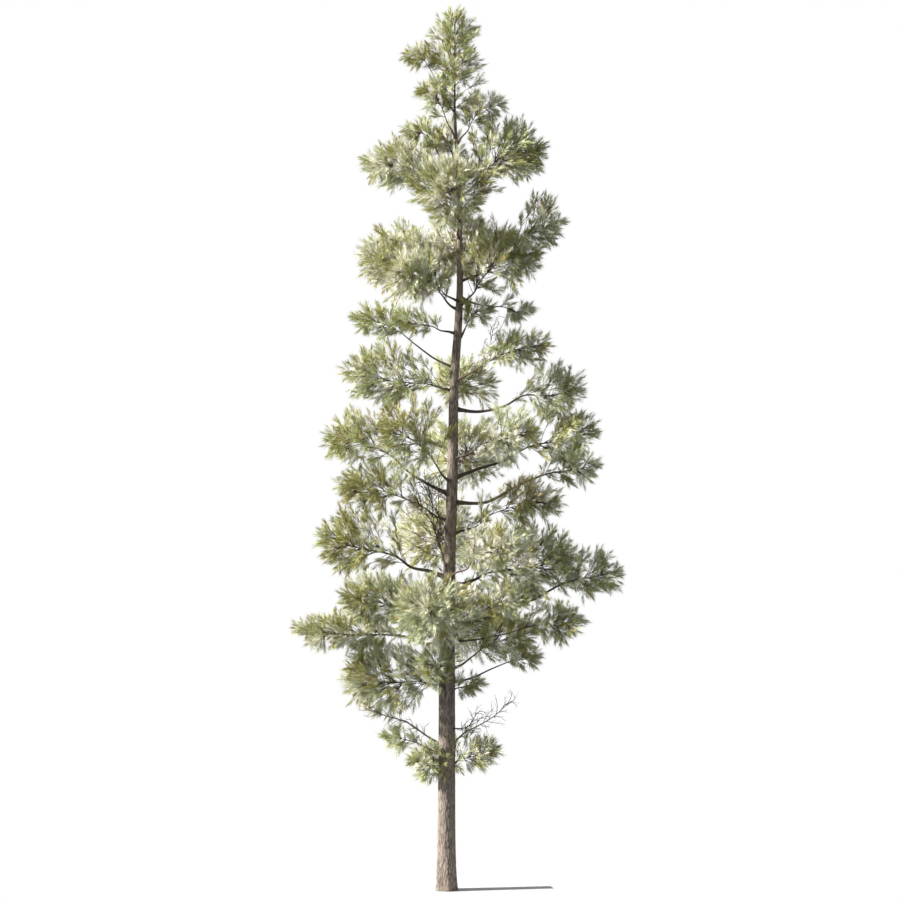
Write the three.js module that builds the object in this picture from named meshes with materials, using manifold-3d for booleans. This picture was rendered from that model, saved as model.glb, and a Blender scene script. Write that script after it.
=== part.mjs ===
import * as THREE from "three";
import { mergeVertices } from "three/addons/utils/BufferGeometryUtils.js";
import Module from "manifold-3d";

// A tall, slender pine rooted in level ground, in millimetres with +Z up. The origin is
// the middle of the flat cut under the trunk. An azimuth is in degrees from +X towards
// +Y, a height is above the ground, and a reach is level distance from the trunk's middle.

// Gaps that the pieces keep to each other
const SEAT_GAP = 0.3;
const FOLIAGE_GAP = 6;

// Trunk: its taper and lean by height, and the flare of its foot
const TRUNK_TIP = 23000;
const TRUNK_SIDES = 12;
const TRUNK_RINGS = 28;
const RING_CROWDING = 1.2;
const FLARE_WIDTH = 62;
const FLARE_HEIGHT = 700;
const FLARE_LOBES = 5;
const FLARE_LOBE_SHARE = 0.09;
const TRUNK_RADII = [
  [0, 264], [2600, 250], [5000, 240], [7000, 226], [9700, 174], [12400, 158],
  [13800, 139], [16800, 114], [17500, 96], [20300, 72], [22000, 48], [23000, 34],
];
const LEAN_IN_X = [
  [0, 0], [4000, 25], [7000, 35], [9700, 106], [12600, 200], [14800, 235],
  [16800, 370], [18000, 410], [20400, 370], [22000, 300], [23000, 255],
];
const LEAN_IN_Y = [[0, 0], [6000, 60], [12000, -40], [18000, 80], [23000, 20]];

// Boughs: how they thin out and sag, and where they bend on the way to their mass
const BOUGH_SIDES = 5;
const BOUGH_STEPS = 5;
const BOUGH_TIP_SHARE = 0.45;
const BOUGH_SAG = 0.06;
const BOUGH_KINK = 0.05;
const BOUGH_BENDS = [0.35, 0.7];
const PATH_SAMPLES = 200;

// Stem of a mass: its thickness, and the shares of the mass's half sizes that it runs over
const STEM_SIDES = 3;
const STEM_STEPS = 4;
const STEM_STEPS_FROM_TRUNK = 9;
const STEM_GIRTH_ON_TRUNK = 64;
const STEM_ROOT_SHARE = 0.9;
const STEM_TIP_RADIUS = 22;
const STEM_START_SHARE = 0.84;
const STEM_END_SHARE = 0.6;
const STEM_MIDDLE_BELOW = 0.16;

// Twigs, which turn about the stem as they follow each other
const TWIGS_PER_METRE = 3.9;
const TWIG_FIRST = 0.1;
const TWIG_SIDES = 3;
const TWIG_RADIUS = 10;
const TWIG_FORWARD = 54;
const TWIG_FORWARD_SPREAD = 36;
const TWIG_TURN = 137.5;
const TWIG_LIFT = 0.1;

// Sprays of needles: fans of teeth that spread from the end of a twig
const SPRAY_SHARE = 0.62;
const SPRAY_LONGEST = 1600;
const SPRAY_SHORTEST = 200;
const SPRAY_ROOM_SHARE = 0.8;
const SPRAY_SPACE_SHARE = 1.12;
const SPRAY_HALF_THICKNESS_SHARE = 0.018;
const SPRAY_ROLL_SPREAD = 110;
const SPRAY_TEETH = 5;
const SPRAY_SPREAD = 25;
const NOTCH_SHARE = 0.6;
const OUTER_TEETH_SHARE = 0.84;
const SHORTEST_TOOTH_SHARE = 0.86;
const ROOM_STEPS = 40;

// Dead limbs, bare but for their own twigs
const DEAD_LIMB_BENDS = [0.25, 0.5, 0.75, 1];
const DEAD_LIMB_STEPS = 8;
const DEAD_LIMB_RISE_POWER = 0.7;
const DEAD_TWIG_SPACING = 300;
const DEAD_TWIG_FIRST = 0.25;
const DEAD_TWIG_LAST = 0.97;
const DEAD_TWIG_STEPS = 2;
const DEAD_TWIG_RADIUS = 11;
const DEAD_TWIG_LENGTH = 620;
const DEAD_TWIG_SHORTEST_SHARE = 0.5;
const DEAD_TWIG_ASIDE = 0.9;
const DEAD_TWIG_RISE = 0.3;

// The leading shoot stands on the trunk's tip. Its length, and its width both ways.
const LEADER = { height: 24380, size: [3300, 2000, 2050] };

// A mass with a girth hangs on a bough that is that thick where it leaves the trunk, at
// the height "at", and the others grow on a stem straight from the trunk. Each keeps to an
// ellipsoid, and its size is its length away from the trunk, its width across, and its depth.
const MASSES = {
  left_1: { azimuth: 178, at: 22850, reach: 950, height: 24530, size: [850, 850, 850] },
  left_2: { azimuth: 194, at: 22050, reach: 620, height: 23400, size: [900, 950, 1400] },
  right_2: { azimuth: -9, at: 21900, reach: 760, height: 23050, size: [1300, 1300, 1250] },
  back_2: { azimuth: 112, at: 21200, reach: 850, height: 22200, size: [1300, 1450, 1250] },
  left_3_top: { azimuth: 176, at: 20900, reach: 1000, height: 22330, size: [1050, 1150, 1000] },
  left_3: { azimuth: 172, at: 20200, reach: 1620, height: 21380, size: [2700, 2550, 1750] },
  right_3: { azimuth: 7, at: 20300, reach: 1400, height: 21820, size: [2550, 2500, 2200] },
  front_3: { azimuth: 263, at: 19100, reach: 1210, height: 20560, size: [2200, 3200, 2500] },
  left_4: { azimuth: 176, at: 17050, reach: 1600, height: 18600, size: [3000, 2900, 2500] },
  right_4_far: { azimuth: 7, at: 17900, reach: 2450, height: 19620, size: [1250, 1250, 2200] },
  right_4: { azimuth: -19, at: 17150, reach: 1300, height: 18650, size: [2550, 2400, 2250] },
  front_4: { azimuth: 229, at: 17300, reach: 1800, height: 18060, size: [2250, 2200, 1800] },
  back_4: { azimuth: 90, at: 18000, reach: 1350, height: 19150, size: [2600, 2800, 2400] },
  left_5_near: { azimuth: 189, at: 16350, reach: 1250, height: 16720, size: [1300, 1150, 900] },
  right_5: { azimuth: -17, at: 16150, reach: 560, height: 17050, size: [900, 980, 1050] },
  right_5_far: { azimuth: 12, at: 17450, reach: 1720, height: 17080, size: [850, 800, 800] },
  left_5: { azimuth: 172, at: 15350, reach: 2220, height: 16800, size: [1600, 1450, 1300] },
  left_6: { azimuth: 183, at: 14700, reach: 1900, height: 15150, size: [2950, 2850, 2200] },
  right_6: { azimuth: -27, at: 14950, reach: 1980, height: 15950, size: [2350, 2150, 1200] },
  right_6_far: { azimuth: 4, at: 14150, girth: 104, reach: 2900, height: 14700, size: [1950, 2150, 2000] },
  back_6: { azimuth: 86, at: 14300, reach: 2050, height: 15050, size: [2800, 3000, 1480] },
  right_7: { azimuth: -37, at: 12700, reach: 1920, height: 13440, size: [2200, 1900, 2240] },
  left_8: { azimuth: 173, at: 11600, girth: 108, reach: 2640, height: 13310, size: [2450, 2850, 1950] },
  front_8: { azimuth: 232, at: 11950, reach: 1900, height: 13430, size: [2500, 2300, 2470] },
  right_8: { azimuth: 9, at: 12100, girth: 104, reach: 3180, height: 13400, size: [2450, 2500, 2180] },
  right_9: { azimuth: -11, at: 11400, girth: 112, reach: 3550, height: 12450, size: [1750, 1900, 1300] },
  back_8: { azimuth: 81, at: 12050, reach: 2460, height: 12950, size: [3130, 3370, 2630] },
  left_10: { azimuth: 186, at: 10850, reach: 2000, height: 11860, size: [2900, 2650, 1650] },
  right_10: { azimuth: -22, at: 10450, reach: 2160, height: 11450, size: [2900, 2400, 1540] },
  front_11: { azimuth: 303, at: 9200, reach: 2250, height: 10160, size: [2800, 2400, 1710] },
  left_12: { azimuth: 177, at: 9150, girth: 124, reach: 2620, height: 10250, size: [2700, 2850, 2500] },
  right_12: { azimuth: 9, at: 9000, girth: 120, reach: 2500, height: 9680, size: [3400, 3000, 2450] },
  back_12: { azimuth: 97, at: 9300, reach: 2700, height: 10450, size: [3480, 3670, 2400] },
  right_13_far: { azimuth: 0, at: 7750, girth: 118, reach: 4250, height: 9330, size: [1950, 1950, 1700] },
  right_13_low: { azimuth: -20, at: 7300, reach: 3400, height: 7970, size: [1600, 1550, 1550] },
  right_13_near: { azimuth: -36, at: 7600, reach: 2080, height: 8670, size: [1600, 1700, 1250] },
  left_13: { azimuth: 181, at: 7350, girth: 116, reach: 3050, height: 7620, size: [3250, 2400, 1300] },
  left_13_near: { azimuth: 203, at: 7500, reach: 2150, height: 8650, size: [2700, 2150, 1900] },
  front_13: { azimuth: 258, at: 7300, reach: 1920, height: 8390, size: [2700, 3000, 2380] },
  back_13: { azimuth: 80, at: 7000, reach: 2680, height: 7860, size: [3200, 3400, 2540] },
  left_14: { azimuth: 174, at: 6000, reach: 1880, height: 6290, size: [2650, 2600, 2650] },
  left_14_near: { azimuth: 241, at: 5700, reach: 710, height: 6710, size: [1400, 1340, 1630] },
  right_14: { azimuth: -7, at: 6500, reach: 1820, height: 7560, size: [1800, 2000, 1950] },
  right_15: { azimuth: -6, at: 5800, reach: 580, height: 6070, size: [800, 810, 920] },
  right_15_far: { azimuth: 7, at: 6100, reach: 2260, height: 6820, size: [800, 860, 850] },
  left_low_far: { azimuth: 166, at: 3960, reach: 1400, height: 4480, size: [950, 950, 850] },
  left_low: { azimuth: 204, at: 3700, reach: 550, height: 3790, size: [1150, 1100, 1600] },
  right_low: { azimuth: -9, at: 3650, reach: 860, height: 4080, size: [1250, 1200, 1650] },
};

// Dead limbs by where they leave the trunk, how far they reach and how far they rise
const DEAD_LIMBS = {
  dead_limb_left: { azimuth: 180, at: 4180, girth: 62, reach: 2350, rise: 1050 },
  dead_limb_right: { azimuth: -9, at: 4060, girth: 54, reach: 1850, rise: 1400 },
};

// Seeds: the leading shoot's, the first mass's, and what is added for sprigs and dead limbs
const LEADER_SEED = 1;
const FIRST_MASS_SEED = 2;
const SPRIG_SEEDS = 1000;
const DEAD_LIMB_SEEDS = 101;

// Colours and roughness of the pieces
const BARK = new THREE.MeshStandardMaterial({ color: "#93857a", roughness: 0.95, metalness: 0 });
const DEAD_WOOD = new THREE.MeshStandardMaterial({ color: "#8b8078", roughness: 0.95, metalness: 0 });
const NEEDLES = new THREE.MeshStandardMaterial({ color: "#97976f", roughness: 0.85, metalness: 0 });

const UP = new THREE.Vector3(0, 0, 1);
const NEARLY_UPRIGHT = 0.95;
const NO_LENGTH = 1e-6;
const { degToRad, lerp, clamp } = THREE.MathUtils;
const wasm = await Module();
wasm.setup();

// Draws numbers from 0 to 1, the same ones for the same seed
function seededDraw(seed) {
  const prime = 2147483647;
  const factor = 48271;
  const seedStep = 7919;
  const seedStart = 12345;
  let state = seed * seedStep + seedStart;
  return () => {
    state = (state * factor) % prime;
    return state / prime;
  };
}

// A number between two bounds
function between(draw, low, high) {
  return low + (high - low) * draw();
}

// A value between the rows of a table of heights, without kinks at its rows
function smoothValue(table, height) {
  let row = 0;
  while (row < table.length - 2 && height > table[row + 1][0]) row += 1;
  const [low, start] = table[row];
  const [high, end] = table[row + 1];
  const before = table[Math.max(row - 1, 0)];
  const after = table[Math.min(row + 2, table.length - 1)];
  const startSlope = (end - before[1]) / (high - before[0]);
  const endSlope = (after[1] - start) / (after[0] - low);
  const span = high - low;
  const t = clamp((height - low) / span, 0, 1);
  const eased = t * t * (3 - 2 * t);
  return start + (end - start) * eased
    + span * startSlope * t * (1 - t) ** 2 - span * endSlope * t * t * (1 - t);
}

function trunkMiddle(height) {
  return new THREE.Vector3(smoothValue(LEAN_IN_X, height), smoothValue(LEAN_IN_Y, height), height);
}

// The trunk's radius, with the lobes of its root flare
function trunkRadius(height, angle) {
  const flare = Math.exp(-height / FLARE_HEIGHT);
  const lobes = 1 + FLARE_LOBE_SHARE * flare * Math.cos(FLARE_LOBES * angle);
  return (smoothValue(TRUNK_RADII, height) + FLARE_WIDTH * flare) * lobes;
}

// The level directions out of the trunk and across that
function levelDirections(azimuth) {
  const angle = degToRad(azimuth);
  const outward = new THREE.Vector3(Math.cos(angle), Math.sin(angle), 0);
  const across = new THREE.Vector3(-Math.sin(angle), Math.cos(angle), 0);
  return { outward, across };
}

// A closed geometry as a solid
function solidOf(geometry) {
  const bare = new THREE.BufferGeometry();
  bare.setAttribute("position", geometry.getAttribute("position"));
  bare.setIndex(geometry.getIndex());
  const mergeDistance = 1e-3;
  const merged = mergeVertices(bare, mergeDistance);
  return new wasm.Manifold(new wasm.Mesh({
    numProp: 3,
    vertProperties: merged.getAttribute("position").array,
    triVerts: Uint32Array.from(merged.getIndex().array),
  }));
}

// A solid as a geometry with its own flat faces
function geometryOf(solid) {
  const { vertProperties, triVerts } = solid.getMesh();
  const indexed = new THREE.BufferGeometry();
  indexed.setAttribute("position", new THREE.BufferAttribute(vertProperties, 3));
  indexed.setIndex(new THREE.BufferAttribute(triVerts, 1));
  const geometry = indexed.toNonIndexed();
  geometry.computeVertexNormals();
  return geometry;
}

// The trunk: level rings about its leaning middle, crowded at the foot
function trunkSolid(extra) {
  const geometry = new THREE.CylinderGeometry(1, 1, 1, TRUNK_SIDES, TRUNK_RINGS);
  geometry.rotateX(Math.PI / 2);
  const places = geometry.getAttribute("position");
  for (let i = 0; i < places.count; i += 1) {
    const height = TRUNK_TIP * (places.getZ(i) + 0.5) ** RING_CROWDING;
    const angle = Math.atan2(places.getY(i), places.getX(i));
    const onRing = Math.hypot(places.getX(i), places.getY(i)) > 0.5;
    const radius = onRing ? trunkRadius(height, angle) + extra : 0;
    const middle = trunkMiddle(height);
    places.setXYZ(i, middle.x + radius * Math.cos(angle), middle.y + radius * Math.sin(angle), height);
  }
  return solidOf(geometry);
}

// A limb: a cylinder or cone bent along part of a path, thick at its start
function limbSolid({ path, from = 0, to = 1, radii, sides, steps, across, pointed = false }) {
  const geometry = new THREE.CylinderGeometry(pointed ? 0 : 1, 1, 1, sides, steps);
  const places = geometry.getAttribute("position");
  for (let i = 0; i < places.count; i += 1) {
    const share = places.getY(i) + 0.5;
    const along = lerp(from, to, share);
    const heading = path.getTangentAt(along);
    const side = across.clone().addScaledVector(heading, -across.dot(heading)).normalize();
    const top = side.clone().cross(heading);
    const spoke = new THREE.Vector2(places.getX(i), places.getZ(i));
    const onRing = spoke.length() > NO_LENGTH;
    if (onRing) spoke.setLength(lerp(radii[0], radii[1], share));
    const place = path.getPointAt(along).addScaledVector(side, spoke.x).addScaledVector(top, spoke.y);
    places.setXYZ(i, place.x, place.y, place.z);
  }
  return solidOf(geometry);
}

// A sprig: a three-sided twig that opens into a fan of teeth, as one closed body. The fan
// is flat below and ridged above, thickest where the twig ends.
function sprigSolid({ root, twigEnd, heading, side, fanLength, toothShares }) {
  const normal = heading.clone().cross(side).normalize();
  const place = (from, ahead, aside, above) => from.clone()
    .addScaledVector(heading, ahead).addScaledVector(side, aside).addScaledVector(normal, above);
  const half = fanLength * SPRAY_HALF_THICKNESS_SHARE;
  const points = [
    place(root, 0, TWIG_RADIUS, -TWIG_RADIUS / 2),
    place(root, 0, 0, TWIG_RADIUS),
    place(root, 0, -TWIG_RADIUS, -TWIG_RADIUS / 2),
    place(twigEnd, 0, half, -half / 2),
    place(twigEnd, 0, 0, half),
    place(twigEnd, 0, -half, -half / 2),
  ];
  const [left, top, right] = [3, 4, 5];
  const outline = [left];
  const middleTooth = (SPRAY_TEETH - 1) / 2;
  for (let step = 0; step <= 2 * (SPRAY_TEETH - 1); step += 1) {
    const fromMiddle = middleTooth - step / 2;
    const outer = lerp(1, OUTER_TEETH_SHARE, Math.abs(fromMiddle) / middleTooth);
    const far = fanLength * outer * (step % 2 === 0 ? toothShares[step / 2] : NOTCH_SHARE);
    const angle = degToRad(fromMiddle * SPRAY_SPREAD);
    outline.push(points.length);
    points.push(place(twigEnd, far * Math.cos(angle), far * Math.sin(angle), -half / 2));
  }
  outline.push(right);
  const faces = [0, 2, 1];
  for (let i = 0; i < TWIG_SIDES; i += 1) {
    const next = (i + 1) % TWIG_SIDES;
    faces.push(i, next, next + TWIG_SIDES, i, next + TWIG_SIDES, i + TWIG_SIDES);
  }
  for (let i = 0; i < outline.length - 1; i += 1) {
    faces.push(top, outline[i + 1], outline[i]);
    if (i > 0) faces.push(left, outline[i], outline[i + 1]);
  }
  const geometry = new THREE.BufferGeometry().setFromPoints(points);
  geometry.setIndex(faces);
  return solidOf(geometry);
}

// The space of a mass: its middle, its three directions and their half sizes
function spaceOf(row) {
  const { outward, across } = levelDirections(row.azimuth);
  const middle = trunkMiddle(row.at).addScaledVector(outward, row.reach).setZ(row.height);
  return { middle, axes: [outward, across, UP], halves: row.size.map((length) => length / 2) };
}

// How far a point is from the middle of a space, where 1 is the space's skin
function depthIn(space, point) {
  const offset = point.clone().sub(space.middle);
  return Math.hypot(...space.axes.map((axis, i) => offset.dot(axis) / space.halves[i]));
}

// How far a straight line can run from a point before it leaves a space
function roomIn(space, point, heading) {
  const step = space.halves[0] / ROOM_STEPS;
  let room = 0;
  while (depthIn(space, point.clone().addScaledVector(heading, room + step)) < 1) room += step;
  return room;
}

// A point of a space, by shares of its half sizes outward and upward
function placeIn(space, outwardShare, upwardShare) {
  return space.middle.clone()
    .addScaledVector(space.axes[0], space.halves[0] * outwardShare)
    .addScaledVector(space.axes[2], space.halves[2] * upwardShare);
}

// The path of a bough and of the stem that goes on from it, from inside the trunk towards
// the middle of the mass and on to near its far end, and where on it the mass begins
function boughPath(row, space, draw) {
  const root = trunkMiddle(row.at);
  const start = space.middle.clone().lerp(root, STEM_START_SHARE / depthIn(space, root));
  const middle = placeIn(space, 0, -STEM_MIDDLE_BELOW);
  const end = placeIn(space, STEM_END_SHARE, 0);
  const run = root.distanceTo(start);
  const kink = run * BOUGH_KINK;
  const bends = BOUGH_BENDS.map((share) => {
    const sag = run * BOUGH_SAG * 4 * share * (1 - share);
    return root.clone().lerp(start, share)
      .addScaledVector(UP, between(draw, -kink, kink) - sag)
      .addScaledVector(space.axes[1], between(draw, -kink, kink));
  });
  const path = new THREE.CatmullRomCurve3([root, ...bends, start, middle, end], false, "centripetal");
  const shares = Array.from({ length: PATH_SAMPLES + 1 }, (_, i) => i / PATH_SAMPLES);
  const toStart = (share) => path.getPointAt(share).distanceTo(start);
  const enters = shares.reduce((nearest, share) => (toStart(share) < toStart(nearest) ? share : nearest));
  return { path, enters };
}

// A direction square to another one: level, and then turned about it by an angle
function rolledSide(heading, degrees) {
  const isUpright = Math.abs(heading.z) > NEARLY_UPRIGHT;
  const level = heading.clone().cross(isUpright ? new THREE.Vector3(1, 0, 0) : UP).normalize();
  return level.applyAxisAngle(heading, degToRad(degrees));
}

// Where the sprigs of a mass grow: from the far end of the stem back to its start, each
// turned on from the last. Each reaches the skin of the space, with its fan nearer to
// upright than to level. All are drawn before any is left out.
function sprigsOf(space, stem, draw) {
  const size = 2 * Math.cbrt(space.halves[0] * space.halves[1] * space.halves[2]);
  const longest = Math.min(size * SPRAY_SHARE, SPRAY_LONGEST);
  const count = Math.round((size / 1000) * TWIGS_PER_METRE);
  const last = lerp(stem.from, 1, TWIG_FIRST);
  const across = space.axes[1];
  let turn = between(draw, 0, 360);
  const sprigs = [];
  for (let i = 0; i < count; i += 1) {
    const along = lerp(1, last, i / count);
    const root = stem.path.getPointAt(along);
    const ahead = stem.path.getTangentAt(along);
    const side = across.clone().addScaledVector(ahead, -across.dot(ahead)).normalize();
    const top = side.clone().cross(ahead);
    turn += TWIG_TURN;
    const spread = TWIG_FORWARD + between(draw, -0.5, 0.5) * TWIG_FORWARD_SPREAD;
    const forward = degToRad(i === 0 ? 0 : spread);
    const angle = degToRad(turn);
    const twigHeading = ahead.clone().multiplyScalar(Math.cos(forward))
      .addScaledVector(side, Math.sin(forward) * Math.cos(angle))
      .addScaledVector(top, Math.sin(forward) * Math.sin(angle));
    const heading = twigHeading.clone().addScaledVector(UP, TWIG_LIFT).normalize();
    const room = roomIn(space, root, twigHeading);
    const fanLength = Math.min(longest, room * SPRAY_ROOM_SHARE);
    const twigEnd = root.clone().addScaledVector(twigHeading, room - fanLength);
    const fanSide = rolledSide(heading, 90 + between(draw, -0.5, 0.5) * SPRAY_ROLL_SPREAD);
    const toothShares = Array.from({ length: SPRAY_TEETH }, () => between(draw, SHORTEST_TOOTH_SHARE, 1));
    sprigs.push({ root, twigEnd, heading, side: fanSide, fanLength, toothShares });
  }
  return sprigs;
}

// The corners of a solid
function cornersOf(solid) {
  const { vertProperties } = solid.getMesh();
  const count = vertProperties.length / 3;
  return Array.from({ length: count }, (_, i) => new THREE.Vector3().fromArray(vertProperties, 3 * i));
}

// Whether two solids come nearer to each other than the foliage's gap
function touches(solid, other) {
  const own = solid.boundingBox();
  const its = other.boundingBox();
  const isApart = (i) => own.min[i] > its.max[i] + FOLIAGE_GAP || its.min[i] > own.max[i] + FOLIAGE_GAP;
  return ![0, 1, 2].some(isApart) && solid.minGap(other, FOLIAGE_GAP) < FOLIAGE_GAP;
}

// Parts fused into one body: the largest closed skin, with no hollow and no loose scrap
function fused(parts) {
  const skins = wasm.Manifold.union(parts).decompose();
  return skins.reduce((largest, skin) => (skin.volume() > largest.volume() ? skin : largest));
}

const tree = new THREE.Group();
tree.name = "pine_tree";

function addPiece(name, solid, material) {
  const mesh = new THREE.Mesh(geometryOf(solid), material);
  mesh.name = name;
  tree.add(mesh);
}

// The trunk, and the slightly wider one that its neighbours are cut by
const trunk = trunkSolid(0);
const trunkWithGap = trunkSolid(SEAT_GAP / Math.cos(Math.PI / TRUNK_SIDES));
addPiece("trunk", trunk, BARK);

// Boughs and stems come first, so that twigs can keep clear of all of them
const limbs = [{ solid: trunk }];
const growths = [];

// The leading shoot: its stem goes straight on up from the trunk's tip
function growLeader() {
  const halves = LEADER.size.map((length) => length / 2);
  const middle = trunkMiddle(TRUNK_TIP).setZ(LEADER.height);
  const across = new THREE.Vector3(0, 1, 0);
  const space = { middle, axes: [UP, across, new THREE.Vector3(-1, 0, 0)], halves };
  const foot = trunkMiddle(TRUNK_TIP).addScaledVector(UP, SEAT_GAP);
  const top = placeIn(space, STEM_END_SHARE, 0);
  const path = new THREE.CatmullRomCurve3([foot, foot.clone().lerp(top, 0.5), top]);
  const radii = [smoothValue(TRUNK_RADII, TRUNK_TIP) * STEM_ROOT_SHARE, STEM_TIP_RADIUS];
  const solid = limbSolid({ path, radii, sides: STEM_SIDES, steps: STEM_STEPS, across });
  limbs.push({ solid, name: "leader" });
  growths.push({ name: "leader", space, stem: { path, from: 0 }, solid, seed: LEADER_SEED });
}

// A mass's stem, and the bough that carries it where it has one
function growLimb([name, row], index) {
  const seed = FIRST_MASS_SEED + index;
  const space = spaceOf(row);
  const { path, enters } = boughPath(row, space, seededDraw(seed));
  const across = space.axes[1];
  const stemShape = { path, sides: STEM_SIDES, steps: STEM_STEPS, across };
  let solid;
  if (row.girth) {
    const radii = [row.girth / 2, (row.girth / 2) * BOUGH_TIP_SHARE];
    const boughShape = { path, to: enters, radii, sides: BOUGH_SIDES, steps: BOUGH_STEPS, across };
    const bough = limbSolid(boughShape).subtract(trunkWithGap);
    addPiece(`bough_${name}`, bough, BARK);
    limbs.push({ solid: bough });
    const from = enters + SEAT_GAP / path.getLength();
    solid = limbSolid({ ...stemShape, from, radii: [radii[1] * STEM_ROOT_SHARE, STEM_TIP_RADIUS] });
  } else {
    const radii = [STEM_GIRTH_ON_TRUNK / 2, STEM_TIP_RADIUS];
    solid = limbSolid({ ...stemShape, steps: STEM_STEPS_FROM_TRUNK, radii }).subtract(trunkWithGap);
  }
  limbs.push({ solid, name });
  growths.push({ name, space, stem: { path, from: enters }, solid, seed });
}

// The path of a dead limb, which rises steepest near the trunk
function deadLimbPath(row, outward, across, draw) {
  const root = trunkMiddle(row.at);
  const kink = row.reach * BOUGH_KINK;
  const bends = DEAD_LIMB_BENDS.map((share) => root.clone()
    .addScaledVector(outward, row.reach * share)
    .addScaledVector(UP, row.rise * share ** DEAD_LIMB_RISE_POWER + between(draw, -kink, kink))
    .addScaledVector(across, between(draw, -kink, kink)));
  return new THREE.CatmullRomCurve3([root, ...bends], false, "centripetal");
}

// A bare twig of a dead limb
function deadTwig(path, share, degrees, draw) {
  const along = lerp(DEAD_TWIG_FIRST, DEAD_TWIG_LAST, share);
  const limbHeading = path.getTangentAt(along);
  const heading = limbHeading.clone()
    .addScaledVector(rolledSide(limbHeading, degrees), DEAD_TWIG_ASIDE)
    .normalize();
  const length = DEAD_TWIG_LENGTH * between(draw, DEAD_TWIG_SHORTEST_SHARE, 1);
  const rise = length * between(draw, -DEAD_TWIG_RISE, DEAD_TWIG_RISE);
  const start = path.getPointAt(along);
  const bend = start.clone().addScaledVector(heading, length / 2);
  const tip = start.clone().addScaledVector(heading, length).addScaledVector(UP, rise);
  return limbSolid({
    path: new THREE.CatmullRomCurve3([start, bend, tip]), radii: [DEAD_TWIG_RADIUS, 0],
    sides: TWIG_SIDES, steps: DEAD_TWIG_STEPS, across: rolledSide(heading, 0), pointed: true,
  });
}

// A dead limb with bare twigs that turn round it
function growDeadLimb([name, row], index) {
  const draw = seededDraw(DEAD_LIMB_SEEDS + index);
  const { outward, across } = levelDirections(row.azimuth);
  const path = deadLimbPath(row, outward, across, draw);
  const radii = [row.girth / 2, STEM_TIP_RADIUS];
  const limb = limbSolid({ path, radii, sides: BOUGH_SIDES, steps: DEAD_LIMB_STEPS, across });
  const parts = [limb.subtract(trunkWithGap)];
  const count = Math.round(row.reach / DEAD_TWIG_SPACING);
  for (let i = 1; i <= count; i += 1) parts.push(deadTwig(path, i / count, i * TWIG_TURN, draw));
  const solid = fused(parts);
  addPiece(name, solid, DEAD_WOOD);
  limbs.push({ solid });
}

// The sprigs of a mass, without those that are too short, leave its space, touch a
// neighbour or cross a sprig that is there already
function growMass({ name, space, stem, solid, seed }, masses) {
  const others = [...limbs.filter((limb) => limb.name !== name).map((limb) => limb.solid), ...masses];
  const pieces = [];
  for (const sprig of sprigsOf(space, stem, seededDraw(SPRIG_SEEDS + seed))) {
    const piece = sprigSolid(sprig);
    const isInside = cornersOf(piece).every((corner) => depthIn(space, corner) < SPRAY_SPACE_SHARE);
    const isClear = ![...others, ...pieces].some((other) => touches(piece, other));
    if (sprig.fanLength > SPRAY_SHORTEST && isInside && isClear) pieces.push(piece);
  }
  const mass = fused([solid, ...pieces]);
  addPiece(`foliage_${name}`, mass, NEEDLES);
  return mass;
}

growLeader();
Object.entries(MASSES).forEach(growLimb);
Object.entries(DEAD_LIMBS).forEach(growDeadLimb);
growths.reduce((masses, growth) => [...masses, growMass(growth, masses)], []);

export default tree;
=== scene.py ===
import math

import bmesh
import bpy
import numpy as np
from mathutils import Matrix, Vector, noise


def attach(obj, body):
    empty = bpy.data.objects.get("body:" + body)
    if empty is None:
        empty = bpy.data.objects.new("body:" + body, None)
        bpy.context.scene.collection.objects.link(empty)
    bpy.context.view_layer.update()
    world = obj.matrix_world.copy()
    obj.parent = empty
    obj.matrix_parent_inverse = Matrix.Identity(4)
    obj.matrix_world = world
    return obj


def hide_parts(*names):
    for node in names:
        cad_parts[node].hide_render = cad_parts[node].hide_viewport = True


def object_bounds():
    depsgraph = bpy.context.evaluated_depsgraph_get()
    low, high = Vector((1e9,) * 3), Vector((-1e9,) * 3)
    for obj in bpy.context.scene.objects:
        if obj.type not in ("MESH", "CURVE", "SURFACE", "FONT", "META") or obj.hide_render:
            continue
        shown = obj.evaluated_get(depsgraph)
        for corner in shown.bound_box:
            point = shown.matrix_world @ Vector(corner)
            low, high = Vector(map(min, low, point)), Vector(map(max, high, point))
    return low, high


# A tall, slender pine with its bark, twigs and needles, in metres with +Z up. The origin is
# the middle of the flat cut under the trunk. An azimuth is in degrees from +X towards +Y, a
# height is above the ground, a reach is level distance from the trunk's middle, and a girth is
# how thick a limb is from side to side.

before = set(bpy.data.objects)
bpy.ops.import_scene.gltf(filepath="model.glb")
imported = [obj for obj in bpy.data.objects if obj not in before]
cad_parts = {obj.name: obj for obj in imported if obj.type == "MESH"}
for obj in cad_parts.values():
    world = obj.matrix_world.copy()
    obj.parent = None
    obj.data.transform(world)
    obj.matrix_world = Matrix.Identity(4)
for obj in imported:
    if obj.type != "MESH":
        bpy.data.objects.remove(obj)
solid_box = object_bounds()

# Values for more than one kind of piece: their body, the upward direction, how near to it
# counts as upright, the turn in degrees from one twig or needle to the next, and how close
# together the points of a bark's seam are when they become one
BODY = "root"
UP = np.array([0.0, 0.0, 1.0])
NEARLY_UPRIGHT = 0.95
GOLDEN_TURN = 137.5
MERGE_DISTANCE = 1e-6

# The camera's view: the side of its square picture in pixels, the column and row where the
# foot of the trunk stands in it, and the rows that the whole height of the tree takes up
PICTURE_SIDE = 900
FOOT_COLUMN = 446
FOOT_ROW = 890
TREE_HEIGHT = 26
TREE_ROWS = 884
METRES_PER_PIXEL = TREE_HEIGHT / TREE_ROWS
CAMERA_DISTANCE = 90
CAMERA_REACH = 1000
SENSOR_WIDTH = 36

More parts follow.
